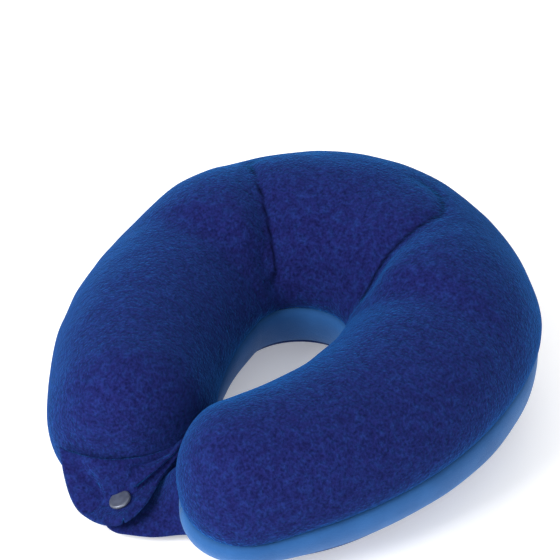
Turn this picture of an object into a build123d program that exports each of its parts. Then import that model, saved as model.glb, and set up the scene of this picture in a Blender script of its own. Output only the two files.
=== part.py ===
"""U shaped travel neck pillow: moulded foam core in a sewn, zipped cover with a snap closure.

Frame: +Z up, the pillow lies flat on z = 0 and the origin is the middle of its footprint.
+Y points to the back of the neck, the opening between the arms faces -Y, X runs across.
"""
import os
from math import asin, cos, degrees, pi, radians, sin, sqrt

from build123d import *

# ---- plan of the pillow, mm -------------------------------------------------
back_spine_radius = 81.0     # centre line of the roll behind the neck
back_centre_y = 0.0          # centre of that arc before the part is centred on its footprint
left_arm_radius = 225.0      # the left arm bends in gently
right_arm_radius = 190.0     # the right arm curls across to meet it
left_arm_length = 142.0
right_arm_length = 162.0

# ---- section of the roll ----------------------------------------------------
back_half_width = 56.0
side_half_width = 53.0
tip_half_width = 42.0
back_height = 108.0
side_height = 93.0
tip_height = 85.0
back_widest_height = 40.0    # where the side of the roll bulges most
tip_widest_height = 27.0
lower_corner_run = 30.0      # how far the rounded foot of the side wall reaches in
end_cap_length = 34.0        # rounded end of each arm
end_flat_share = 0.45        # the end face as a share of the full section

# ---- seams of the cover -----------------------------------------------------
outer_seam_back = 46.0       # plush top meets the knit band, outer side
inner_seam_back = 42.0       # and on the neck side
seam_tip = 30.0              # both run down to this at the ends of the arms
base_seam_height = 10.0      # the base panel turns up this far

# ---- layers -----------------------------------------------------------------
cover_thickness = 2.4
liner_thickness = 1.0
layer_clearance = 0.5

# ---- shaped panel behind the neck -------------------------------------------
neck_panel_half_angle = 38.0  # degrees each side of the middle of the back

# ---- zip round the back -----------------------------------------------------
zip_height = 30.0            # middle of the zip above the floor
zip_opening_height = 10.0
zip_half_angle = 52.0        # degrees each side of the middle of the back
zip_close_angle = 4.0        # the slot for the tapes tapers shut over this much more
zip_tape_setback = 0.3       # tape lies this far inside the band's surface
zip_tape_thickness = 0.6
zip_gap = 1.6                # between the two tapes
tooth_pitch = 3.2
tooth_length = 2.0
tooth_height = 1.7
tooth_stand = 1.4
row_gap = 1.0                # between the two rows, where the slider's wedge runs
slider_length = 11.0
slider_height = 7.6
slider_plate = 1.1
slider_back_plate = 0.7
slider_clearance = 0.3
slider_rest_angle = 43.0     # closed end, degrees to the right of the middle
wedge_thickness = 0.5
lug_reach = 2.6
lug_height = 1.2
pull_pin_radius = 0.6
pull_eye_radius = 1.3
pull_bore_clearance = 0.06
pull_length = 22.0
pull_width = 7.0
pull_thickness = 1.2
stop_length = 2.5

# ---- closure at the ends of the arms ----------------------------------------
flap_base_height = 38.0
flap_base_width = 56.0
flap_middle_width = 50.0
flap_snap_width = 34.0
flap_tip_width = 15.0
flap_snap_run = 18.0         # the snap stands this far in front of the left end
flap_snap_shift = 10.0       # and this far to its outer side
flap_tip_run = 12.0          # from the snap to the tip
flap_face_thickness = 2.0
flap_lining_thickness = 1.0
tab_base_width = 40.0
tab_base_height = 13.0
tab_base_shift = -9.0
tab_face_thickness = 1.8
tab_lining_thickness = 1.0
ply_clearance = 0.2
hinge_clearance = 3.2        # fabric root to the end of the centre line

# ---- snap fastener ----------------------------------------------------------
snap_top_height = 20.5       # centre of the cap above the floor
snap_lean = Vector(-0.30, -0.22, 0.93)
cap_radius = 6.5
cap_height = 1.6
cap_round = 1.1
snap_body_radius = 5.4
socket_height = 2.6
socket_bore_radius = 2.35
socket_bore_depth = 2.2
stud_base_height = 1.0
stud_nib_radius = 2.05
stud_nib_height = 1.7
post_height = 1.0
snap_clearance = 0.3

UP = Vector(0, 0, 1)
quarter = back_spine_radius * pi / 2


# ---- centre line and sections of the roll -----------------------------------
def spine_point(along):
    """Point and outward direction on the centre line; along is signed, minus is left."""
    side = -1 if along < 0 else 1
    run = abs(along)
    if run <= quarter:
        turn = run / back_spine_radius
        outward = Vector(side * sin(turn), cos(turn), 0)
        return Vector(0, back_centre_y, 0) + outward * back_spine_radius, outward
    arm_radius = left_arm_radius if side < 0 else right_arm_radius
    turn = (run - quarter) / arm_radius
    outward = Vector(side * cos(turn), -sin(turn), 0)
    centre = Vector(side * (back_spine_radius - arm_radius), back_centre_y, 0)
    return centre + outward * arm_radius, outward


def end_run(side):
    """Length of centre line from the middle of the back to the end of one arm."""
    return quarter + (left_arm_length if side < 0 else right_arm_length)


def section_plane(along):
    point, outward = spine_point(along)
    return Plane(origin=point, x_dir=outward, z_dir=outward.cross(UP))


def along_roll(at_back, at_side, at_tip, along):
    """A size that changes along the centre line from the back to an arm's end."""
    run = abs(along)
    full_run = end_run(along)
    if run <= quarter:
        return at_back + (at_side - at_back) * (run / quarter) ** 2
    share = min((run - quarter) / (full_run - quarter), 1.0)
    return at_side + (at_tip - at_side) * share ** 1.3


def half_width_at(along):
    return along_roll(back_half_width, side_half_width, tip_half_width, along)


def swell_at(along, inset):
    """Share of the full section that is left near an arm's rounded end."""
    cap = end_cap_length - inset
    left = max(end_run(along) - inset - abs(along), 0.0)
    share = min(left / cap, 1.0)
    return max(sqrt(max(1 - (1 - share) ** 2.3, 0.0)), end_flat_share)


def profile_at(along, inset):
    """Half width, corner run, widest height, top and floor of the roll's section."""
    swell = swell_at(along, inset)
    half_width = (half_width_at(along) - inset) * swell
    top = along_roll(back_height, side_height, tip_height, along) - inset
    widest = along_roll(back_widest_height, back_widest_height, tip_widest_height, along)
    high = widest + (top - widest) * (0.35 + 0.65 * swell)
    low = widest - (widest - inset) * (0.5 + 0.5 * swell)
    corner = half_width * (lower_corner_run - inset) / (side_half_width - inset)
    return half_width, corner, widest, high, low


def profile_edge(profile, kind, start, stop):
    """One edge of a section: the dome, a lower corner or the flat foot; angles in degrees."""
    half_width, corner, widest, high, low = profile
    foot = half_width - corner
    if kind == "foot":
        return Line((-foot, low), (foot, low))
    if kind == "dome":
        return EllipticalCenterArc((0, widest), half_width, high - widest, start,
                                   arc_size=stop - start)
    centre_x = foot if kind == "outer" else -foot
    return EllipticalCenterArc((centre_x, widest), corner, widest - low, start,
                               arc_size=stop - start)


def roll_section(along, inset):
    """Closed section face: flat foot, two rounded lower corners and a domed top."""
    profile = profile_at(along, inset)
    with BuildSketch(section_plane(along)) as sketch:
        with BuildLine():
            profile_edge(profile, "foot", 0, 0)
            profile_edge(profile, "outer", 270, 360)
            profile_edge(profile, "dome", 0, 90)
            profile_edge(profile, "dome", 90, 180)
            profile_edge(profile, "inner", 180, 270)
        make_face()
    return sketch.sketch.faces()[0]


def strip_section(along, runs_at):
    """Section of one cover panel: its run round the profile, one cover thickness thick."""
    with BuildSketch(section_plane(along)) as sketch:
        with BuildLine():
            skins = []
            for inset in (0.0, cover_thickness):
                profile = profile_at(along, inset)
                skins.append([profile_edge(profile, *run) for run in runs_at(along, profile)])
            Line(skins[0][0] @ 0, skins[1][0] @ 0)
            Line(skins[0][-1] @ 1, skins[1][-1] @ 1)
        make_face()
    return sketch.sketch.faces()[0]


def section_places(inset):
    """Signed places along the centre line where a section is drawn, left end to right end."""
    shut = zip_half_angle + zip_close_angle
    turns = [neck_panel_half_angle * step / 5 for step in range(5)]
    turns += [neck_panel_half_angle, (neck_panel_half_angle + zip_half_angle) / 2, zip_half_angle]
    turns += [shut + (90 - shut) * step / 5 for step in range(5)]
    half = [radians(turn) * back_spine_radius for turn in turns] + [quarter]
    places = [-place for place in half[:0:-1]] + half
    for side in (-1, 1):
        full_run = end_run(side) - inset
        cap = end_cap_length - inset
        straight = full_run - cap - quarter
        arm = [quarter + straight * step / 6 for step in range(1, 7)]
        arm += [full_run - cap * share for share in (0.8, 0.6, 0.42, 0.27, 0.16, 0.09, 0.0)]
        places += [side * run for run in arm]
    return sorted(places)


def roll(inset):
    """The whole U shaped roll, set in from the outer surface by inset."""
    return loft([roll_section(along, inset) for along in section_places(inset)], ruled=True)


# ---- cover ------------------------------------------------------------------
def angle_on(profile, height):
    """Angle on the section's ellipse at a height: above the widest place or below it."""
    half_width, corner, widest, high, low = profile
    span = high - widest if height > widest else widest - low
    return degrees(asin((height - widest) / span))


def seam_height(at_back, along):
    return along_roll(at_back, at_back, seam_tip, along)


def base_edge(along, sign):
    """Height of the base panel's edge (sign -1) or of the outer band's lower edge (sign 1)."""
    turn = degrees(abs(along) / back_spine_radius)
    rise = max(0.0, min(1.0, (90 - turn) / (90 - zip_half_angle)))
    opened = max(0.0, min(1.0, (zip_half_angle + zip_close_angle - turn) / zip_close_angle))
    middle = base_seam_height + (zip_height - base_seam_height) * rise
    return middle + sign * opened * zip_opening_height / 2


def plush_runs(along, profile):
    start = angle_on(profile, seam_height(outer_seam_back, along))
    stop = 180 - angle_on(profile, seam_height(inner_seam_back, along))
    return [("dome", start, 90), ("dome", 90, stop)]


def outer_band_runs(along, profile):
    start = 360 + angle_on(profile, base_edge(along, 1))
    stop = angle_on(profile, seam_height(outer_seam_back, along))
    return [("outer", start, 360), ("dome", 0, stop)]


def inner_band_runs(along, profile):
    start = 180 - angle_on(profile, seam_height(inner_seam_back, along))
    stop = 180 - angle_on(profile, base_seam_height)
    return [("dome", start, 180), ("inner", 180, stop)]


def base_runs(along, profile):
    start = 180 - angle_on(profile, base_seam_height)
    stop = 360 + angle_on(profile, base_edge(along, -1))
    return [("inner", start, 270), ("foot", 0, 0), ("outer", 270, stop)]


def panel(runs_at, places):
    return loft([strip_section(along, runs_at) for along in places], ruled=True)


def end_panel(side):
    """Flat oval panel that closes the end of one arm."""
    place = side * end_run(side)
    return extrude(roll_section(place, 0.0), amount=side * cover_thickness)


def band_radius():
    """Radius of the outer band's surface at the zip's height, behind the neck."""
    rise = (back_widest_height - zip_height) / back_widest_height
    lean_in = lower_corner_run * (1 - sqrt(1 - rise ** 2))
    return back_spine_radius + back_half_width - lean_in


def make_cover():
    places = section_places(0.0)
    panel_edge = radians(neck_panel_half_angle) * back_spine_radius + 0.001
    middle = [along for along in places if abs(along) <= panel_edge]
    left = [along for along in places if along <= middle[0]]
    right = [along for along in places if along >= middle[-1]]
    return {
        "neck_panel": panel(plush_runs, middle),
        "left_arm_panel": panel(plush_runs, left),
        "right_arm_panel": panel(plush_runs, right),
        "outer_band": panel(outer_band_runs, places),
        "inner_band": panel(inner_band_runs, places),
        "bottom_panel": panel(base_runs, places),
        "left_end_panel": end_panel(-1),
        "right_end_panel": end_panel(1),
    }


# ---- zip --------------------------------------------------------------------
def ring_sector(inner_radius, outer_radius, low, high, from_angle, to_angle):
    """Part of an upright ring about the back arc's centre; angles in degrees from +Y to +X."""
    with BuildPart() as ring:
        with BuildSketch(Plane.XY.offset(low)):
            with BuildLine():
                start = 90 - to_angle
                sweep_angle = to_angle - from_angle
                a = CenterArc((0, 0), outer_radius, start, sweep_angle)
                b = CenterArc((0, 0), inner_radius, start, sweep_angle)
                Line(a @ 0, b @ 0)
                Line(a @ 1, b @ 1)
            make_face()
        extrude(amount=high - low)
    return Pos(0, back_centre_y, 0) * ring.part


def make_zip():
    tape_outer = band_radius() - zip_tape_setback
    tape_inner = tape_outer - zip_tape_thickness
    end = zip_half_angle - 0.3
    half_opening = zip_opening_height / 2 - 0.1
    teeth_inner = tape_outer + 0.05
    teeth_outer = teeth_inner + tooth_stand
    pitch_angle = tooth_pitch / tape_outer * 180 / pi
    tooth_angle = tooth_length / tape_outer * 180 / pi
    row_half = zip_half_angle - 4.5
    tooth_count = int(2 * row_half / pitch_angle)
    parts = {}
    for name, sign in (("upper", 1), ("lower", -1)):
        edges = sorted([zip_height + sign * zip_gap / 2, zip_height + sign * half_opening])
        parts["zipper_tape_" + name] = ring_sector(tape_inner, tape_outer, *edges, -end, end)
        rows = sorted([zip_height + sign * row_gap / 2,
                       zip_height + sign * (row_gap / 2 + tooth_height)])
        tooth = ring_sector(teeth_inner, teeth_outer, *rows, -tooth_angle / 2, tooth_angle / 2)
        about = Axis((0, back_centre_y, 0), (0, 0, 1))
        places = [(i - (tooth_count - 1) / 2) * pitch_angle for i in range(tooth_count)]
        parts["zipper_teeth_" + name] = Compound([tooth.rotate(about, place) for place in places])

    stop_angle = stop_length / tape_outer * 180 / pi
    stop_at = row_half + stop_angle / 2 + 0.2
    stop_half = row_gap / 2 + tooth_height
    for name, sign in (("zipper_top_stop", 1), ("zipper_bottom_stop", -1)):
        parts[name] = ring_sector(teeth_inner, teeth_outer, zip_height - stop_half,
                                  zip_height + stop_half, sign * stop_at - stop_angle / 2,
                                  sign * stop_at + stop_angle / 2)

    half_angle = slider_length / tape_outer * 90 / pi
    front_inner = teeth_outer + slider_clearance
    front_outer = front_inner + slider_plate
    back_outer = tape_inner - slider_clearance
    back_inner = back_outer - slider_back_plate
    low = zip_height - slider_height / 2
    high = zip_height + slider_height / 2
    place = slider_rest_angle
    slider = ring_sector(front_inner, front_outer, low, high, place - half_angle, place + half_angle)
    slider += ring_sector(back_inner, back_outer, low, high, place - half_angle, place + half_angle)
    slider += ring_sector(back_inner, front_outer, zip_height - wedge_thickness / 2,
                          zip_height + wedge_thickness / 2, place - half_angle / 4,
                          place + half_angle / 4)
    pin_radius = front_outer + lug_reach / 2
    lug_half_angle = 0.55
    lug_gap = slider_height / 2 - lug_height
    for sign in (1, -1):
        edges = sorted([zip_height + sign * lug_gap, zip_height + sign * slider_height / 2])
        slider += ring_sector(front_outer - 0.2, front_outer + lug_reach, *edges,
                              place - lug_half_angle, place + lug_half_angle)
    turn = radians(place)
    outward = Vector(sin(turn), cos(turn), 0)
    pin_centre = Vector(0, back_centre_y, zip_height) + outward * pin_radius
    pin = Pos(pin_centre) * Cylinder(pull_pin_radius, slider_height - 0.2)
    parts["zipper_slider"] = slider + pin

    along = Vector(cos(turn), -sin(turn), 0)
    eye_height = 2 * lug_gap - 0.6
    pull_plane = Plane(origin=pin_centre, x_dir=along, z_dir=outward)
    blade_start = 3.4
    with BuildSketch(pull_plane.offset(-pull_thickness / 2)) as blade:
        with Locations(((pull_length + blade_start) / 2, 0)):
            RectangleRounded(pull_length - blade_start, pull_width, 2.2)
        with Locations((blade_start / 2 + 0.6, 0)):
            Rectangle(blade_start, eye_height)
        with Locations((pull_length - 5.5, 0)):
            SlotOverall(6, 2.6, mode=Mode.SUBTRACT)
    pull = extrude(blade.sketch, pull_thickness)
    pull += Pos(pin_centre) * Cylinder(pull_eye_radius, eye_height)
    pull -= Pos(pin_centre) * Cylinder(pull_pin_radius + pull_bore_clearance, eye_height + 2)
    parts["zipper_pull"] = pull
    return parts


# ---- snap closure -----------------------------------------------------------
def end_frame(side):
    """Point, outward and forward directions at the end of one arm's centre line."""
    point, outward = spine_point(side * end_run(side))
    return point, outward, outward.cross(UP) * side


def snap_axis_plane():
    """Plane through the top of the flap at the snap, with its normal along the snap's axis."""
    point, outward, forward = end_frame(-1)
    centre = point + outward * flap_snap_shift + forward * flap_snap_run
    centre = Vector(centre.X, centre.Y, snap_top_height) - snap_lean.normalized() * cap_height
    return Plane(origin=centre, x_dir=forward, z_dir=snap_lean)


def ply_section(centre, normal, forward, width, top, thickness):
    """Cross section of a ply: a flat rectangle whose upper face lies top below centre."""
    normal = normal.normalized()
    forward = (forward - normal * forward.dot(normal)).normalized()
    across = normal.cross(forward)
    origin = centre - normal * (top + thickness / 2)
    return Plane(origin=origin, x_dir=across, z_dir=forward) * Rectangle(width, thickness)


def flap_ply(top, thickness):
    """A curved tongue from the left arm's end down over the snap."""
    point, outward, forward = end_frame(-1)
    snap = snap_axis_plane()
    lean = snap.z_dir
    root = point + forward * (hinge_clearance + 3.4) + UP * flap_base_height
    quarter_way = root * 0.55 + snap.origin * 0.45 + UP * 1.5
    steep = forward * sin(radians(62)) + UP * cos(radians(62))
    ahead = (forward - lean * forward.dot(lean)).normalized()
    sections = [
        ply_section(root, steep, forward, flap_base_width, top, thickness),
        ply_section(quarter_way, steep + lean, forward, flap_middle_width, top, thickness),
        ply_section(snap.origin - ahead * 8, lean, forward, flap_snap_width + 6, top, thickness),
        ply_section(snap.origin, lean, forward, flap_snap_width, top, thickness),
        ply_section(snap.origin + ahead * 7, lean, forward, flap_snap_width - 6, top, thickness),
        ply_section(snap.origin + ahead * flap_tip_run, lean, forward, flap_tip_width, top, thickness),
    ]
    return loft(sections, ruled=True)


def tab_ply(top, thickness):
    """A tongue from the right arm's end, under the flap, to the stud."""
    point, outward, forward = end_frame(1)
    snap = snap_axis_plane()
    lean = snap.z_dir
    root = point + outward * tab_base_shift + forward * hinge_clearance
    root = Vector(root.X, root.Y, tab_base_height)
    snap_seat = snap.origin - lean * tab_drop()
    ahead = Vector(snap_seat.X - root.X, snap_seat.Y - root.Y, 0).normalized()
    along_lean = (ahead - lean * ahead.dot(lean)).normalized()
    half_way = root * 0.5 + snap_seat * 0.5
    sections = [
        ply_section(root, UP, forward, tab_base_width, top, thickness),
        ply_section(half_way, UP + lean, ahead, tab_base_width - 2, top, thickness),
        ply_section(snap_seat - along_lean * 7, lean, ahead, flap_snap_width + 2, top, thickness),
        ply_section(snap_seat, lean, ahead, flap_snap_width - 2, top, thickness),
        ply_section(snap_seat + along_lean * 7, lean, ahead, flap_snap_width - 8, top, thickness),
        ply_section(snap_seat + along_lean * flap_tip_run, lean, ahead, flap_tip_width, top, thickness),
    ]
    return loft(sections, ruled=True)


def flap_thickness():
    return flap_face_thickness + ply_clearance + flap_lining_thickness


def tab_drop():
    """Top of the flap down to the top of the tab, along the snap's axis."""
    return flap_thickness() + socket_height + snap_clearance + stud_base_height


def snap_disc(radius, top, height):
    """A disc on the snap's axis; top is measured down from the flap's upper face."""
    plane = snap_axis_plane()
    return plane.offset(-top - height / 2) * Cylinder(radius, height)


def make_closure():
    cap = snap_disc(cap_radius, -cap_height, cap_height)
    cap = fillet(cap.edges().filter_by(GeomType.CIRCLE).sort_by(Axis.Z)[-1], cap_round)
    socket = snap_disc(snap_body_radius, flap_thickness(), socket_height)
    bore_top = flap_thickness() + socket_height - socket_bore_depth
    socket -= snap_disc(socket_bore_radius, bore_top, socket_bore_depth + 1)
    tab_top = tab_drop()
    stud = snap_disc(snap_body_radius, tab_top - stud_base_height, stud_base_height)
    stud += snap_disc(stud_nib_radius, tab_top - stud_base_height - stud_nib_height,
                      stud_nib_height + 0.2)
    tab_thickness = tab_face_thickness + ply_clearance + tab_lining_thickness
    post = snap_disc(snap_body_radius, tab_top + tab_thickness, post_height)
    return {
        "flap_face": flap_ply(0, flap_face_thickness),
        "flap_lining": flap_ply(flap_face_thickness + ply_clearance, flap_lining_thickness),
        "snap_cap": cap,
        "snap_socket": socket,
        "tab_face": tab_ply(0, tab_face_thickness),
        "tab_lining": tab_ply(tab_face_thickness + ply_clearance, tab_lining_thickness),
        "snap_stud": stud,
        "snap_post": post,
    }


# ---- assembly ---------------------------------------------------------------
def build():
    parts = make_cover()
    liner_inset = cover_thickness + layer_clearance
    core_inset = liner_inset + liner_thickness + layer_clearance
    parts["foam_liner"] = roll(liner_inset) - roll(liner_inset + liner_thickness)
    parts["foam_core"] = roll(core_inset)
    parts.update(make_zip())
    parts.update(make_closure())
    return parts


def centred(parts):
    """Move every piece so that the origin is the middle of the footprint."""
    box = Compound([Compound(part.solids()) for part in parts.values()]).bounding_box()
    shift = Pos(-(box.min.X + box.max.X) / 2, -(box.min.Y + box.max.Y) / 2, 0)
    return {name: shift * part for name, part in parts.items()}, shift.position


def main():
    os.makedirs("parts", exist_ok=True)
    parts, shift = centred(build())
    for name, part in parts.items():
        solids = part.solids()
        piece = solids[0] if len(solids) == 1 else Compound(solids)
        export_step(piece, f"parts/{name}.step")
    print("moved by", [round(value, 3) for value in shift])


main()
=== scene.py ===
from math import asin, cos, degrees, exp, pi, radians, sin, sqrt

import bmesh
import bpy
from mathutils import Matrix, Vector, noise


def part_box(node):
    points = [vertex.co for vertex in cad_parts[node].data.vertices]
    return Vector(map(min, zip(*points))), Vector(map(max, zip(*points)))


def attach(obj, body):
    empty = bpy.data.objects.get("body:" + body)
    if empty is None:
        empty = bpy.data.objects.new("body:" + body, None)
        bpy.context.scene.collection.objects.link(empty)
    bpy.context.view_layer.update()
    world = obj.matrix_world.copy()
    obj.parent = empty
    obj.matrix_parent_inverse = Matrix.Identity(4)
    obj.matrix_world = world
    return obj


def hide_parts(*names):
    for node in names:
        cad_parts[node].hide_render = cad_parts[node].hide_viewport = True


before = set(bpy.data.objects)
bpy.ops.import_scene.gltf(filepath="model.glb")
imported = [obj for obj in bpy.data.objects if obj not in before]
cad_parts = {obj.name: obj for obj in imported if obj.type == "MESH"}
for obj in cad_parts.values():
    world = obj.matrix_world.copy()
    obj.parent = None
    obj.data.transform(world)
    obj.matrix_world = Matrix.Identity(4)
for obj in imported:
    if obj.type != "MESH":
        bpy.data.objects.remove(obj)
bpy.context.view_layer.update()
scene = bpy.context.scene
up = Vector((0, 0, 1))
print("frame loaded")

# the roll's centre line and section, metres; three values run back, side, tip
roll = {
    "backRadius": 0.081, "leftRadius": 0.225, "rightRadius": 0.190,
    "leftLength": 0.142, "rightLength": 0.177,
    "halfWidth": (0.056, 0.053, 0.042), "top": (0.108, 0.093, 0.085),
    "widest": (0.040, 0.040, 0.027), "corner": 0.030,
    "slimming": 1.3,  # how late an arm slims towards its end
    "cap": 0.034, "capRound": 2.3, "capCrown": 0.35, "capFoot": 0.5,  # how an arm's end closes
    "tipRise": 0.012, "tipRiseRun": 0.085,  # the right arm's end lifts a little off the table
    "flankFull": 0.0045, "flankRun": 0.175, "flankSpread": 0.075,  # the right flank stands a little fuller
    "outerSeam": (0.046, 0.046, 0.030), "innerSeam": (0.042, 0.042, 0.030), "baseSeam": 0.010,
    "seamDropRun": (0.006, 0.060), "leftSeamEnd": 0.0165, "rightSeamEnd": 0.032,
    "zipHalfTurn": 52.0, "zipClose": 0.6, "zipHeight": 0.030, "zipGap": 0.010,
}
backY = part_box("outer_band")[1][1] - roll["backRadius"] - roll["halfWidth"][0]
neckY = backY + roll["backRadius"] - roll["halfWidth"][0]  # the neck side, at the middle of the back
quarter = roll["backRadius"] * pi / 2


def smooth(low, high, value):
    t = max(0.0, min(1.0, (value - low) / (high - low)))
    return t * t * (3 - 2 * t)


def hump(value, middle, spread):  # 1 at the middle, falling off either side
    return exp(-((value - middle) / spread) ** 2)


def cloud(point, scale, shift):
    return noise.noise(point * scale + Vector(shift))


def centreAt(run):  # point and outward direction; a minus run is on the left
    side = -1 if run < 0 else 1
    if abs(run) <= quarter:
        turn = abs(run) / roll["backRadius"]
        outward = Vector((side * sin(turn), cos(turn), 0))
        return Vector((0, backY, 0)) + outward * roll["backRadius"], outward
    radius = roll["leftRadius"] if side < 0 else roll["rightRadius"]
    turn = (abs(run) - quarter) / radius
    outward = Vector((side * cos(turn), -sin(turn), 0))
    return Vector((side * (roll["backRadius"] - radius), backY, 0)) + outward * radius, outward


def endRun(side):
    return quarter + (roll["leftLength"] if side < 0 else roll["rightLength"])


def along(sizes, run):
    atBack, atSide, atTip = sizes
    if abs(run) <= quarter:
        return atBack + (atSide - atBack) * (run / quarter) ** 2
    share = min((abs(run) - quarter) / (endRun(run) - quarter), 1.0)
    return atSide + (atTip - atSide) * share ** roll["slimming"]


def sectionAt(run, inset=0.0):
    left = max(endRun(run) - inset - abs(run), 0.0)
    share = min(left / (roll["cap"] - inset), 1.0)
    swell = sqrt(max(1 - (1 - share) ** roll["capRound"], 0.0))
    half = (along(roll["halfWidth"], run) - inset) * swell
    top = along(roll["top"], run) - inset
    widest = along(roll["widest"], run)
    high = widest + (top - widest) * (roll["capCrown"] + (1 - roll["capCrown"]) * swell)
    low = widest - (widest - inset) * (roll["capFoot"] + (1 - roll["capFoot"]) * swell)
    if run > 0:
        low += roll["tipRise"] * (1 - smooth(0.0, roll["tipRiseRun"], left))
    corner = half * (roll["corner"] - inset) / (roll["halfWidth"][1] - inset)
    return half, corner, widest, high, low


def angleFor(section, height):  # on the dome above the widest place, on the corner below it
    half, corner, widest, high, low = section
    span = high - widest if height > widest else widest - low
    return asin(max(-1.0, min(1.0, (height - widest) / span)))


def profilePoint(section, kind, angle):
    half, corner, widest, high, low = section
    if kind == "dome":
        return half * cos(angle), widest + (high - widest) * sin(angle)
    side = 1 if kind == "outer" else -1
    return side * (half - corner + corner * cos(angle)), widest + (widest - low) * sin(angle)


def placeAt(centre, outward, across, height):
    return centre + outward * across + up * height


def baseEdge(run, sign):  # the zip's slot opens between the band's edge and the base panel's
    turn = degrees(abs(run) / roll["backRadius"])
    rise = max(0.0, min(1.0, (90 - turn) / (90 - roll["zipHalfTurn"])))
    opened = max(0.0, min(1.0, (roll["zipHalfTurn"] + roll["zipClose"] - turn) / roll["zipClose"]))
    middle = roll["baseSeam"] + (roll["zipHeight"] - roll["baseSeam"]) * rise
    return middle + sign * opened * roll["zipGap"] / 2


def seamHeight(which, run):  # the seams run down round the arms' ends
    drop = 1 - smooth(*roll["seamDropRun"], endRun(run) - abs(run))
    atEnd = roll["rightSeamEnd"] if run > 0 else roll["leftSeamEnd"]
    return along(roll[which], run) * (1 - drop) + atEnd * drop


def flankAt(run):
    return roll["flankFull"] * hump(run, roll["flankRun"], roll["flankSpread"])


def stations(step, inset=0.0):  # runs from the left end to the right, closer at the round ends
    capSteps = 16
    runs = []
    for side in (-1, 1):
        full = endRun(side) - inset
        cap = roll["cap"] - inset
        count = int((full - cap) / step)
        first = 0 if side > 0 else 1
        runs += [side * (full - cap) * k / count for k in range(first, count + 1)]
        runs += [side * (full - cap * (k / capSteps) ** 2) for k in range(capSteps - 1, -1, -1)]
    return sorted(runs)


def gridPiece(name, rows, lift=None, closed=False):  # rows of (point, facts); lift gives the proud height
    mesh = bpy.data.meshes.new(name)
    bm = bmesh.new()
    place = bm.verts.layers.int.new("place")
    facts = []
    grid = []
    for row in rows:
        line = []
        for point, fact in row:
            vert = bm.verts.new(point)
            vert[place] = len(facts)
            facts.append(fact)
            line.append(vert)
        grid.append(line)
    for r in range(len(grid) - 1):
        count = len(grid[r])
        for c in range(count if closed else count - 1):
            d = (c + 1) % count
            bm.faces.new((grid[r][c], grid[r][d], grid[r + 1][d], grid[r + 1][c]))
    bmesh.ops.remove_doubles(bm, verts=bm.verts, dist=0.00002)  # closes the poles at the arms' ends
    bm.normal_update()
    if lift:
        moves = [(vert, vert.normal * lift(vert.co.copy(), facts[vert[place]])) for vert in bm.verts]
        for vert, move in moves:
            vert.co += move
    bm.verts.layers.int.remove(place)
    bm.normal_update()
    bm.to_mesh(mesh)
    bm.free()
    mesh.shade_smooth()
    piece = bpy.data.objects.new(name, mesh)
    scene.collection.objects.link(piece)
    return piece


def addModifier(piece, name, kind, **settings):
    modifier = piece.modifiers.new(name, kind)
    for key, value in settings.items():
        setattr(modifier, key, value)
    return modifier


# plush top: one napped panel with the shaped neck panel sewn into it
plush = {
    "step": 0.0022, "columns": 72, "proud": 0.0030, "tuck": 0.0014, "tuckRun": 0.0045,
    "panelInner": 0.029, "panelOuter": 0.064, "panelShift": -0.009, "panelDepth": 0.072, "panelCorner": 0.028,
    "panelStart": -0.004, "seamValley": 0.0070, "crownValley": 0.42, "valleyWidth": 0.0038,
    "neckWiden": 1.2, "softWiden": 3.2,  # the valley is wider at the neck, with a softer dip round it
    "seamStart": (-0.020, -0.004), "crownGap": (0.052, 0.070), "crownGapSide": (0.018, 0.048),
    # width of the painted seam shade, and the height above which it is painted
    "neckDeep": (-0.005, 0.060), "seamShadeWidth": 0.0013, "seamShadeFrom": 0.03,
    "lobeRise": 0.0060, "lobeStart": (0.002, 0.026), "lobeEnd": (0.030, 0.110),
    "gather": 0.0016, "gatherReach": 0.020, "lump": 0.0022, "fineLump": 0.0005,
    "shoulderDrop": 0.0065, "shoulderRun": -0.115, "shoulderSpread": 0.045, "shoulderHeights": (0.04, 0.085),
}


def neckPanelDistance(x, y):  # plan distance to the neck panel's outline, minus inside
    inner = neckY + plush["panelStart"]
    t = (y - inner) / plush["panelDepth"]
    t = min(max(t * 1.5, 0.0), 1.0)
    half = plush["panelInner"] + (plush["panelOuter"] - plush["panelInner"]) * t
    corner = plush["panelCorner"]
    dx = abs(x - plush["panelShift"] * t) - (half - corner)
    dy = y - (inner + plush["panelDepth"] - corner)
    if dx > 0 and dy > 0:
        return sqrt(dx * dx + dy * dy) - corner
    return max(dx, dy) - corner


def valleyAt(point):  # the seam lines of the neck panel, deep at the neck and shallow over the crown
    d = neckPanelDistance(point.x, point.y)
    inward = point.y - neckY
    fade = smooth(*plush["seamStart"], inward)
    beside = smooth(*plush["crownGapSide"], abs(point.x - plush["panelShift"]))
    fade *= 1 - smooth(*plush["crownGap"], inward) * (1 - beside)
    deep = 1 - smooth(*plush["neckDeep"], inward)
    depth = plush["seamValley"] * (plush["crownValley"] + (1 - plush["crownValley"]) * deep) * fade
    wide = plush["valleyWidth"] * (1 + plush["neckWiden"] * deep)
    sharp = 0.55 * hump(d, 0, wide)
    soft = 0.45 * hump(d, 0, wide * plush["softWiden"]) * (0.4 + 0.6 * deep)
    return depth * (sharp + soft), d, fade, deep


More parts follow.
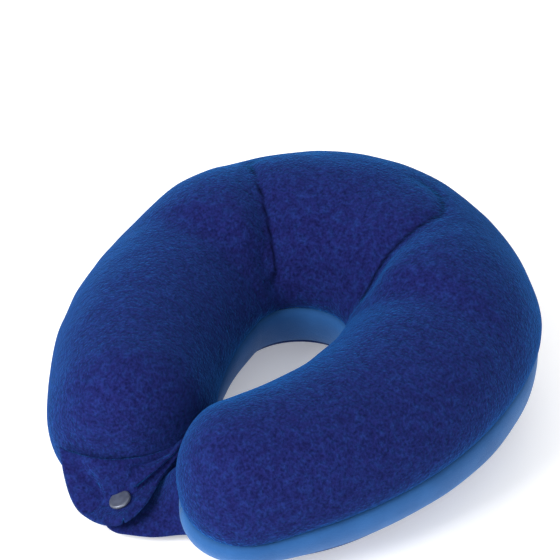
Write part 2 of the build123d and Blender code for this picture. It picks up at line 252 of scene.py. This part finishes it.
def plushLift(point, fact):
    run, edge, angle = fact  # edge is the distance to the nearer band seam
    full = flankAt(run) * smooth(0.2, 0.9, cos(angle))
    shoulder = plush["shoulderDrop"] * hump(run, plush["shoulderRun"], plush["shoulderSpread"])
    full -= shoulder * smooth(*plush["shoulderHeights"], point.z)
    valley, d, fade, deep = valleyAt(point)
    lobe = plush["lobeRise"] * smooth(*plush["lobeStart"], d) * (1 - smooth(*plush["lobeEnd"], d))
    lobe *= fade * deep
    near = hump(d, 0, plush["gatherReach"]) * fade * deep
    folds = plush["gather"] * near * noise.noise(Vector((point.x * 70 + 3, point.y * 70 + 7, point.z * 25)))
    lumps = plush["lump"] * cloud(point, 13, (9, 2, 5)) + plush["fineLump"] * cloud(point, 60, (1, 4, 8))
    hold = 1 - exp(-edge / plush["tuckRun"])
    raised = (plush["proud"] + lobe + folds + lumps) * hold
    return raised - plush["tuck"] * (1 - hold) - valley * (0.2 + 0.8 * hold) + full


def makePlush():
    rows = []
    for run in stations(plush["step"]):
        section = sectionAt(run)
        half, corner, widest, high, low = section
        centre, outward = centreAt(run)
        start = angleFor(section, seamHeight("outerSeam", run))
        stop = pi - angleFor(section, seamHeight("innerSeam", run))
        length = (stop - start) * (half + high - widest) / 2
        row = []
        for k in range(plush["columns"] + 1):
            share = k / plush["columns"]
            share = 0.5 - 0.5 * cos(pi * share) * (0.55 + 0.45 * abs(2 * share - 1))
            angle = start + (stop - start) * share
            across, height = profilePoint(section, "dome", angle)
            edge = length * min(share, 1 - share)
            row.append((placeAt(centre, outward, across, height), (run, edge, angle)))
        rows.append(row)
    return gridPiece("plushTop", rows, plushLift)


plushTop = makePlush()
# painted shade: a near-black line along the neck panel's seam groove, on the upper part of the top where the
# modelled valley is shallow
seamShade = plushTop.data.attributes.new("seamShade", "FLOAT", "POINT")
for vert in plushTop.data.vertices:
    valley, d, fade, deep = valleyAt(vert.co)
    seamShadeAmount = hump(d, 0, plush["seamShadeWidth"]) * fade
    seamShade.data[vert.index].value = seamShadeAmount if vert.co.z > plush["seamShadeFrom"] else 0
print("plush top", len(plushTop.data.polygons))

# knit bands and the base panel
band = {
    "step": 0.0025, "outerColumns": 18, "innerColumns": 14, "proud": 0.0014, "tuck": 0.0022,
    "tuckRun": 0.003, "wave": 0.0006, "fullFrom": (0.012, 0.03), "cloth": 0.0016,
}


def bandLift(point, fact):
    edge, full = fact
    hold = 1 - exp(-edge / band["tuckRun"])
    wave = band["wave"] * cloud(point, 34, (2, 8, 3))
    return (band["proud"] + wave) * hold - band["tuck"] * (1 - hold) + full


def makeBand(name, side, lowEdge, highEdge, columns):
    rows = []
    for run in stations(band["step"]):
        section = sectionAt(run)
        centre, outward = centreAt(run)
        low, high = lowEdge(run), highEdge(run)
        lowAngle, highAngle = angleFor(section, low), angleFor(section, high)
        row = []
        for k in range(columns + 1):
            angle = lowAngle + (highAngle - lowAngle) * k / columns
            across, height = profilePoint(section, "outer" if angle < 0 else "dome", angle)
            edge = max(min(height - low, high - height), 0.0)
            full = flankAt(run) * smooth(*band["fullFrom"], height) if side > 0 else 0
            row.append((placeAt(centre, outward, side * across, height), (edge, full)))
        rows.append(row if side > 0 else row[::-1])
    return gridPiece(name, rows, bandLift)


outerBand = makeBand("outerBand", 1, lambda run: baseEdge(run, 1),
                     lambda run: seamHeight("outerSeam", run), band["outerColumns"])
innerBand = makeBand("innerBand", -1, lambda run: roll["baseSeam"],
                     lambda run: seamHeight("innerSeam", run), band["innerColumns"])


def makeBase():
    innerSteps, footSteps, outerSteps = 8, 8, 12
    rows = []
    for run in stations(band["step"]):
        section = sectionAt(run)
        half, corner, widest, high, low = section
        centre, outward = centreAt(run)
        first = angleFor(section, max(roll["baseSeam"], low + 0.0001))
        last = angleFor(section, max(baseEdge(run, -1), low + 0.0001))
        foot = half - corner
        row = []
        for k in range(innerSteps + 1):
            row.append(profilePoint(section, "inner", first + (-pi / 2 - first) * k / innerSteps))
        for k in range(1, footSteps):
            row.append((-foot + 2 * foot * k / footSteps, low))
        for k in range(outerSteps + 1):
            row.append(profilePoint(section, "outer", -pi / 2 + (last + pi / 2) * k / outerSteps))
        rows.append([(placeAt(centre, outward, across, height), 0) for across, height in row])
    return gridPiece("basePanel", rows)


basePanel = makeBase()
for piece in (basePanel, outerBand, innerBand, plushTop):
    addModifier(piece, "cloth", "SOLIDIFY", thickness=band["cloth"], offset=-1.0)
print("bands and base panel made")

# foam core and its thin liner, under the cover
inside = {"step": 0.006, "linerInset": 0.0031, "coreInset": 0.0046, "cornerSteps": 8, "domeSteps": 32}


def makeInside(name, inset):
    corners, domes = inside["cornerSteps"], inside["domeSteps"]
    rows = []
    for run in stations(inside["step"], inset):
        section = sectionAt(run, inset)
        centre, outward = centreAt(run)
        profile = [profilePoint(section, "outer", -pi / 2 + pi / 2 * k / corners) for k in range(corners)]
        profile += [profilePoint(section, "dome", pi * k / domes) for k in range(domes + 1)]
        profile += [profilePoint(section, "inner", -pi / 2 * k / corners) for k in range(1, corners + 1)]
        rows.append([(placeAt(centre, outward, across, height), 0) for across, height in profile])
    return gridPiece(name, rows, lambda point, fact: -valleyAt(point)[0], True)


foamLiner = makeInside("foamLiner", inside["linerInset"])
foamCore = makeInside("foamCore", inside["coreInset"])
print("foam made")

# the snap leans with the flap; its cap is the frame's
snap = {"lean": (-0.30, -0.22, 0.93), "capHalf": 0.0009, "tabBelow": 0.0085}
capLow, capHigh = [Vector(corner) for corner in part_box("snap_cap")]
snapLean = Vector(snap["lean"]).normalized()
flapTopAtSnap = (capLow + capHigh) / 2 - snapLean * snap["capHalf"]


def bezier(points, t):
    a, b, c, d = points
    s = 1 - t
    return a * s * s * s + b * 3 * s * s * t + c * 3 * s * t * t + d * t * t * t


# flap on the left arm; u runs across it and v from the root to the tip
flap = {
    "half": 0.0375, "leastHalf": 0.0008, "rootForward": 0.0045, "rootHeight": 0.038, "rootOut": 0.004,
    "leaveRun": 0.010, "leaveDrop": 0.003, "meetRun": 0.009, "snapShare": 0.70, "tipReach": 0.0145,
    "rows": 44, "columns": 60, "ply": 0.0022, "lump": 0.0007, "hem": 0.0007, "edgeDip": 0.0009,
    "creases": (  # height, start, end, width
        (-0.0030, (0.80, 0.05), (0.25, 0.62), 0.13),
        (-0.0034, (-0.05, 0.17), (-0.80, 0.13), 0.10),
        (0.0026, (-1.0, 0.0), (-0.10, 0.55), 0.10),
        (0.0018, (0.35, 0.15), (0.08, 0.55), 0.12),
        (-0.0018, (-0.9, 0.22), (-0.35, 0.60), 0.09),
    ),
    "clearOfCap": (0.0075, 0.013), "ringReach": 0.0078, "ringDip": 0.0005,
}


def creaseAt(u, v, start, end, width):  # 1 on the line from start to end, falling off either side
    line = Vector((end[0] - start[0], end[1] - start[1]))
    t = max(0.0, min(1.0, Vector((u - start[0], v - start[1])).dot(line) / line.length_squared))
    gap = Vector((u - start[0] - line.x * t, v - start[1] - line.y * t)).length
    return hump(gap, 0, width) * smooth(-0.1, 0.25, t) * smooth(-0.1, 0.2, 1 - t)


def flapLift(point, fact):
    u, v, half = fact
    away = point - flapTopAtSnap
    reach = (away - snapLean * away.dot(snapLean)).length
    folds = 0
    for height, start, end, width in flap["creases"]:
        folds += height * creaseAt(u, v, start, end, width)
    ring = -flap["ringDip"] * hump(reach, flap["ringReach"], 0.002)
    edge = half * (1 - abs(u))
    hem = flap["hem"] * hump(edge, 0.0022, 0.0016) - flap["edgeDip"] * exp(-edge / 0.0012)
    hem *= smooth(0.004, 0.014, half)
    lumps = flap["lump"] * cloud(point, 60, (3, 1, 6))
    return (folds + lumps) * smooth(*flap["clearOfCap"], reach) + ring + hem


def makeFlap():
    end, outward = centreAt(-endRun(-1))
    forward = outward.cross(up) * -1
    root = end + forward * flap["rootForward"] + up * flap["rootHeight"] + outward * flap["rootOut"]
    ahead = (forward - snapLean * forward.dot(snapLean)).normalized()
    acrossSnap = snapLean.cross(ahead).normalized()
    if acrossSnap.dot(outward) < 0:
        acrossSnap = -acrossSnap
    # the middle of the tongue drops from the root, then lies over the snap
    leave = root + forward * flap["leaveRun"] - up * flap["leaveDrop"]
    path = [root, leave, flapTopAtSnap - ahead * flap["meetRun"], flapTopAtSnap]
    rows = []
    for i in range(flap["rows"] + 1):
        v = i / flap["rows"]
        mid = bezier(path, min(v / flap["snapShare"], 1.0))
        mid = mid + ahead * (flap["tipReach"] * max(v - flap["snapShare"], 0.0) / (1 - flap["snapShare"]))
        half = max(flap["half"] * max(1 - v ** 1.5, 0.0) ** 0.56, flap["leastHalf"])
        across = outward.lerp(acrossSnap, min(v * 1.6, 1)).normalized()
        row = []
        for k in range(flap["columns"] + 1):
            u = -1 + 2 * k / flap["columns"]
            sag = up * ((0.001 + 0.003 * min(u, 0) ** 2) * u * u * (1 - v) - 0.005 * u * u * v)
            back = -forward * (0.015 * abs(u) ** 2.2 * (1 - v) ** 1.3)
            row.append((mid + across * half * u + sag + back, (u, v, half)))
        rows.append(row)
    return gridPiece("flapTongue", rows, flapLift)


# tab on the right arm, under the flap
tab = {
    "half": 0.0140, "rootWiden": 0.001, "rootBack": 0.009, "rootIn": 0.006, "rootHeight": 0.0195,
    "rootSink": 0.004, "leaveRun": 0.012, "meetRun": 0.014, "snapShare": 0.72, "tipReach": 0.0145,
    "rows": 48, "columns": 32, "ply": 0.0022, "lump": 0.0009, "edgeDip": 0.0008, "climb": 0.9,
}


def tabLift(point, fact):
    u, t, half = fact
    edge = half * (1 - abs(u))
    return tab["lump"] * cloud(point, 60, (4, 4, 1)) - tab["edgeDip"] * exp(-edge / 0.0015)


def makeTab():
    end, outward = centreAt(endRun(1))
    forward = outward.cross(up)
    root = end - forward * tab["rootBack"] - outward * tab["rootIn"] + up * tab["rootHeight"]
    seat = flapTopAtSnap - snapLean * snap["tabBelow"]
    reach = seat - root
    ahead = (reach - up * reach.z).normalized()
    front = ahead.cross(up)
    if front.y > 0:
        front = -front
    leave, meet = root + ahead * tab["leaveRun"], seat - ahead * tab["meetRun"]
    path = [root - ahead * tab["rootSink"], leave, meet, seat]
    rows = []
    for i in range(tab["rows"] + 1):
        t = i / tab["rows"]
        w = min(t / tab["snapShare"], 1.0)
        past = max(t - tab["snapShare"], 0.0) / (1 - tab["snapShare"])
        mid = bezier(path, w) + ahead * (tab["tipReach"] * past)
        taper = sqrt(max(1 - past ** 2, 0.0004))
        half = (tab["half"] + tab["rootWiden"] * (1 - w)) * taper
        steep = 1 - smooth(0.15, 0.95, w)
        cross = (front * (0.90 - 0.45 * steep) - up * (0.20 + 0.70 * steep)).normalized()
        tall = 1 + tab["climb"] * (1 - smooth(0.35, 0.95, w))  # the upper edge climbs the right arm
        row = []
        for k in range(tab["columns"] + 1):
            u = -1 + 2 * k / tab["columns"]
            droop = up * (-0.0025 * max(u, 0) ** 2 + 0.0045 * max(u, 0) * (1 - w))
            row.append((mid + cross * half * (u if u > 0 else u * tall) + droop, (u, t, half)))
        rows.append(row[::-1])
    return gridPiece("tabTongue", rows, tabLift)


flapTongue = makeFlap()
tabTongue = makeTab()
for piece, ply in ((flapTongue, flap["ply"]), (tabTongue, tab["ply"])):
    addModifier(piece, "plies", "SOLIDIFY", thickness=ply, offset=-1.0)
    addModifier(piece, "softEdge", "SUBSURF", levels=1, render_levels=1)
addModifier(plushTop, "soft", "SUBSURF", levels=1, render_levels=1)
print("flap and tab made")


# finishes
def newMaterial(name, base, roughness, **sockets):
    material = bpy.data.materials.new(name)
    material.use_nodes = True
    shader = material.node_tree.nodes["Principled BSDF"]
    shader.inputs["Base Color"].default_value = (*base, 1)
    shader.inputs["Roughness"].default_value = roughness
    for key, value in sockets.items():
        shader.inputs[key.replace("_", " ")].default_value = value
    return material, material.node_tree, shader


def addNode(tree, kind, **inputs):
    node = tree.nodes.new(kind)
    for key, value in inputs.items():
        node.inputs[key.replace("_", " ")].default_value = value
    return node


def noiseOn(tree, scale, detail, stretch=(1, 1, 1)):
    place = tree.nodes.new("ShaderNodeTexCoord")
    mapping = addNode(tree, "ShaderNodeMapping", Scale=stretch)
    texture = addNode(tree, "ShaderNodeTexNoise", Scale=scale, Detail=detail)
    tree.links.new(place.outputs["Object"], mapping.inputs["Vector"])
    tree.links.new(mapping.outputs["Vector"], texture.inputs["Vector"])
    return texture


def ramp(tree, source, stops):
    node = tree.nodes.new("ShaderNodeValToRGB")
    elements = node.color_ramp.elements
    elements[0].position, elements[0].color = stops[0][0], (*stops[0][1], 1)
    elements[1].position, elements[1].color = stops[-1][0], (*stops[-1][1], 1)
    for position, colour in stops[1:-1]:
        elements.new(position).color = (*colour, 1)
    tree.links.new(source.outputs[0], node.inputs["Fac"])
    return node


def bumps(tree, shader, layers):  # layers of (texture, strength, distance), coarse first
    last = None
    for texture, strength, distance in layers:
        bump = addNode(tree, "ShaderNodeBump", Strength=strength, Distance=distance)
        tree.links.new(texture.outputs[0], bump.inputs["Height"])
        if last:
            tree.links.new(last.outputs["Normal"], bump.inputs["Normal"])
        last = bump
    tree.links.new(last.outputs["Normal"], shader.inputs["Normal"])


# the near-black seam colour below is painted shade for the seam grooves
fleece = {
    "dark": (0.0078, 0.0078, 0.062), "mid": (0.0088, 0.0125, 0.088), "light": (0.0100, 0.026, 0.135),
    "seamShadeColour": (0.001, 0.001, 0.012), "sheen": 0.45, "sheenTint": (0.02, 0.33, 1.0, 1),
    "pile": 620, "brush": 240,
}


def fleeceMaterial(name, colours):
    material, tree, shader = newMaterial(name, colours["mid"], 1.0, Sheen_Weight=colours["sheen"],
                                         Sheen_Roughness=0.42, Sheen_Tint=colours["sheenTint"],
                                         Specular_IOR_Level=0.04)
    brushed = noiseOn(tree, colours["brush"], 4)
    shade = ramp(tree, brushed, [(0.22, colours["dark"]), (0.50, colours["mid"]), (0.86, colours["light"])])
    pile = noiseOn(tree, colours["pile"], 3)
    speck = ramp(tree, pile, [(0.30, (0.55, 0.55, 0.60)), (0.70, (1.45, 1.45, 1.4))])
    mix = tree.nodes.new("ShaderNodeMix")
    mix.data_type = "RGBA"
    mix.blend_type = "MULTIPLY"
    mix.inputs["Factor"].default_value = 1.0
    tree.links.new(shade.outputs["Color"], mix.inputs["A"])
    tree.links.new(speck.outputs["Color"], mix.inputs["B"])
    # painted shade: the near-black seam colour is mixed in along the seam groove
    seamShadeNode = addNode(tree, "ShaderNodeAttribute")
    seamShadeNode.attribute_name = "seamShade"
    dim = tree.nodes.new("ShaderNodeMix")
    dim.data_type = "RGBA"
    tree.links.new(seamShadeNode.outputs["Fac"], dim.inputs["Factor"])
    tree.links.new(mix.outputs["Result"], dim.inputs["A"])
    dim.inputs["B"].default_value = (*colours["seamShadeColour"], 1)
    tree.links.new(dim.outputs["Result"], shader.inputs["Base Color"])
    bumps(tree, shader, [(brushed, 0.5, 0.0016), (pile, 0.8, 0.0011)])
    return material


def knitMaterial(name, base, light, rib=900):
    material, tree, shader = newMaterial(name, base, 0.78, Sheen_Weight=0.3, Sheen_Roughness=0.5,
                                         Sheen_Tint=(0.4, 0.62, 1.0, 1), Specular_IOR_Level=0.25)
    patches = noiseOn(tree, 40, 3)
    shade = ramp(tree, patches, [(0.3, base), (0.75, light)])
    tree.links.new(shade.outputs["Color"], shader.inputs["Base Color"])
    loops = noiseOn(tree, rib, 2, (1, 1, 2.2))
    bumps(tree, shader, [(patches, 0.3, 0.001), (loops, 0.55, 0.0005)])
    return material


def plainMaterial(name, base, roughness, scale, strength, distance, **sockets):
    material, tree, shader = newMaterial(name, base, roughness, **sockets)
    grain = noiseOn(tree, scale, 4)
    worn = tuple(c * 0.75 for c in base)
    bright = tuple(min(c * 1.25, 1) for c in base)
    wear = ramp(tree, grain, [(0.3, worn), (0.7, bright)])
    tree.links.new(wear.outputs["Color"], shader.inputs["Base Color"])
    bumps(tree, shader, [(grain, strength, distance)])
    return material


plushNap = fleeceMaterial("napped fleece", fleece)
flapNap = fleeceMaterial("closure fleece", {**fleece, "pile": 700})
bandKnit = knitMaterial("blue band knit", (0.010, 0.072, 0.23), (0.018, 0.105, 0.31))
baseKnit = knitMaterial("navy base knit", (0.012, 0.035, 0.14), (0.02, 0.05, 0.2))
linerKnit = knitMaterial("white liner knit", (0.75, 0.75, 0.75), (0.85, 0.85, 0.85))
foamCells = plainMaterial("open foam", (0.84, 0.80, 0.70), 0.95, scale=900, strength=0.8, distance=0.001)
zipWeave = plainMaterial("zip tape weave", (0.010, 0.018, 0.08), 0.8, scale=1400, strength=0.7,
                         distance=0.0004)
zipPlastic = plainMaterial("zip teeth plastic", (0.014, 0.025, 0.10), 0.35, scale=500, strength=0.15,
                           distance=0.0002)
zipEnamel = plainMaterial("zip enamel", (0.02, 0.03, 0.09), 0.3, scale=300, strength=0.1, distance=0.0002,
                          Metallic=0.6)
capEnamel = plainMaterial("snap cap enamel", (0.115, 0.13, 0.175), 0.38, scale=260, strength=0.12,
                          distance=0.0002, Metallic=0.55, Coat_Weight=0.3, Coat_Roughness=0.25)
snapSteel = plainMaterial("snap steel", (0.45, 0.46, 0.48), 0.3, scale=700, strength=0.1, distance=0.0002,
                          Metallic=1.0)


def paint(piece, material):
    piece.data.materials.clear()
    piece.data.materials.append(material)


for piece, material, slotName in (
    (plushTop, plushNap, "fleece"), (outerBand, bandKnit, "knit"), (innerBand, bandKnit, "knit"),
    (basePanel, baseKnit, "base_knit"), (foamLiner, linerKnit, "liner"), (foamCore, foamCells, "foam"),
    (flapTongue, flapNap, "closure_fleece"), (tabTongue, flapNap, "closure_fleece"),
):
    paint(piece, material)

for nodes, material in (
    (("zipper_tape_upper", "zipper_tape_lower"), zipWeave),
    (("zipper_teeth_upper", "zipper_teeth_lower"), zipPlastic),
    (("zipper_top_stop", "zipper_bottom_stop", "zipper_slider", "zipper_pull"), zipEnamel),
    (("snap_cap",), capEnamel), (("snap_socket", "snap_stud", "snap_post"), snapSteel),
):
    for node in nodes:
        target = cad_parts[node]
        if not target.material_slots:
            target.data.materials.append(material)
        for place in target.material_slots:
            place.material = material
print("finishes set")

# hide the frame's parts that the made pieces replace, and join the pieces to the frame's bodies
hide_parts("neck_panel", "left_arm_panel", "right_arm_panel", "left_end_panel", "right_end_panel")
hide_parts("outer_band")
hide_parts("inner_band")
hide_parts("bottom_panel")
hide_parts("foam_liner")
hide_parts("foam_core")
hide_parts("flap_face", "flap_lining")
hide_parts("tab_face", "tab_lining")
for piece in (plushTop, outerBand, innerBand, basePanel, foamLiner, foamCore):
    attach(piece, "cushion")
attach(flapTongue, "flap")
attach(tabTongue, "tab")
print("pieces joined to the frame")

# floor, light and camera
studio = {
    "floorSize": 6, "floorDrop": 0.0006, "floorColour": (0.93, 0.93, 0.93), "floorGlow": 0.28,
    "skyStrength": 0.75, "lightTarget": (0, 0, 0.05),
    "azimuth": 28.0, "elevation": 37.2, "distance": 1.685, "lens": 186,
    "aimHeight": 0.045, "rise": 0.0385, "across": -0.0062,
}
bpy.ops.object.select_all(action="DESELECT")
bpy.ops.mesh.primitive_plane_add(size=studio["floorSize"], location=(0, 0, -studio["floorDrop"]))
floor = bpy.context.object
floor.name = "floor"
floorPaint, floorTree, floorShader = newMaterial("pale floor", studio["floorColour"], 0.9,
                                                 Emission_Strength=studio["floorGlow"],
                                                 Emission_Color=(1, 1, 1, 1))
paint(floor, floorPaint)

world = bpy.data.worlds.new("studio")
scene.world = world
world.use_nodes = True
sky = world.node_tree.nodes["Background"]
sky.inputs["Color"].default_value = (1.0, 1.0, 1.0, 1)
sky.inputs["Strength"].default_value = studio["skyStrength"]


def areaLight(name, place, size, power):
    light = bpy.data.lights.new(name, "AREA")
    light.size = size
    light.energy = power
    lamp = bpy.data.objects.new(name, light)
    lamp.location = place
    towards = Vector(studio["lightTarget"]) - Vector(place)
    lamp.rotation_euler = towards.to_track_quat("-Z", "Y").to_euler()
    scene.collection.objects.link(lamp)


areaLight("keyLight", (-0.75, -1.35, 1.05), size=0.9, power=33)
areaLight("fillLight", (1.0, -1.3, 0.5), size=1.2, power=9)
areaLight("backLight", (-0.6, 1.4, 1.2), size=1.0, power=6)

a, e = radians(studio["azimuth"]), radians(studio["elevation"])
backward = Vector((sin(a) * cos(e), -cos(a) * cos(e), sin(e)))
rightward = Vector((cos(a), sin(a), 0))
upward = backward.cross(rightward)
aim = Vector((0, 0, studio["aimHeight"])) + upward * studio["rise"] + rightward * studio["across"]
cameraData = bpy.data.cameras.new("camera")
cameraData.lens = studio["lens"]
camera = bpy.data.objects.new("camera", cameraData)
camera.location = aim + backward * studio["distance"]
camera.rotation_euler = (-backward).to_track_quat("-Z", "Y").to_euler()
scene.collection.objects.link(camera)
scene.camera = camera
scene.view_settings.view_transform = "Standard"
print("camera set")
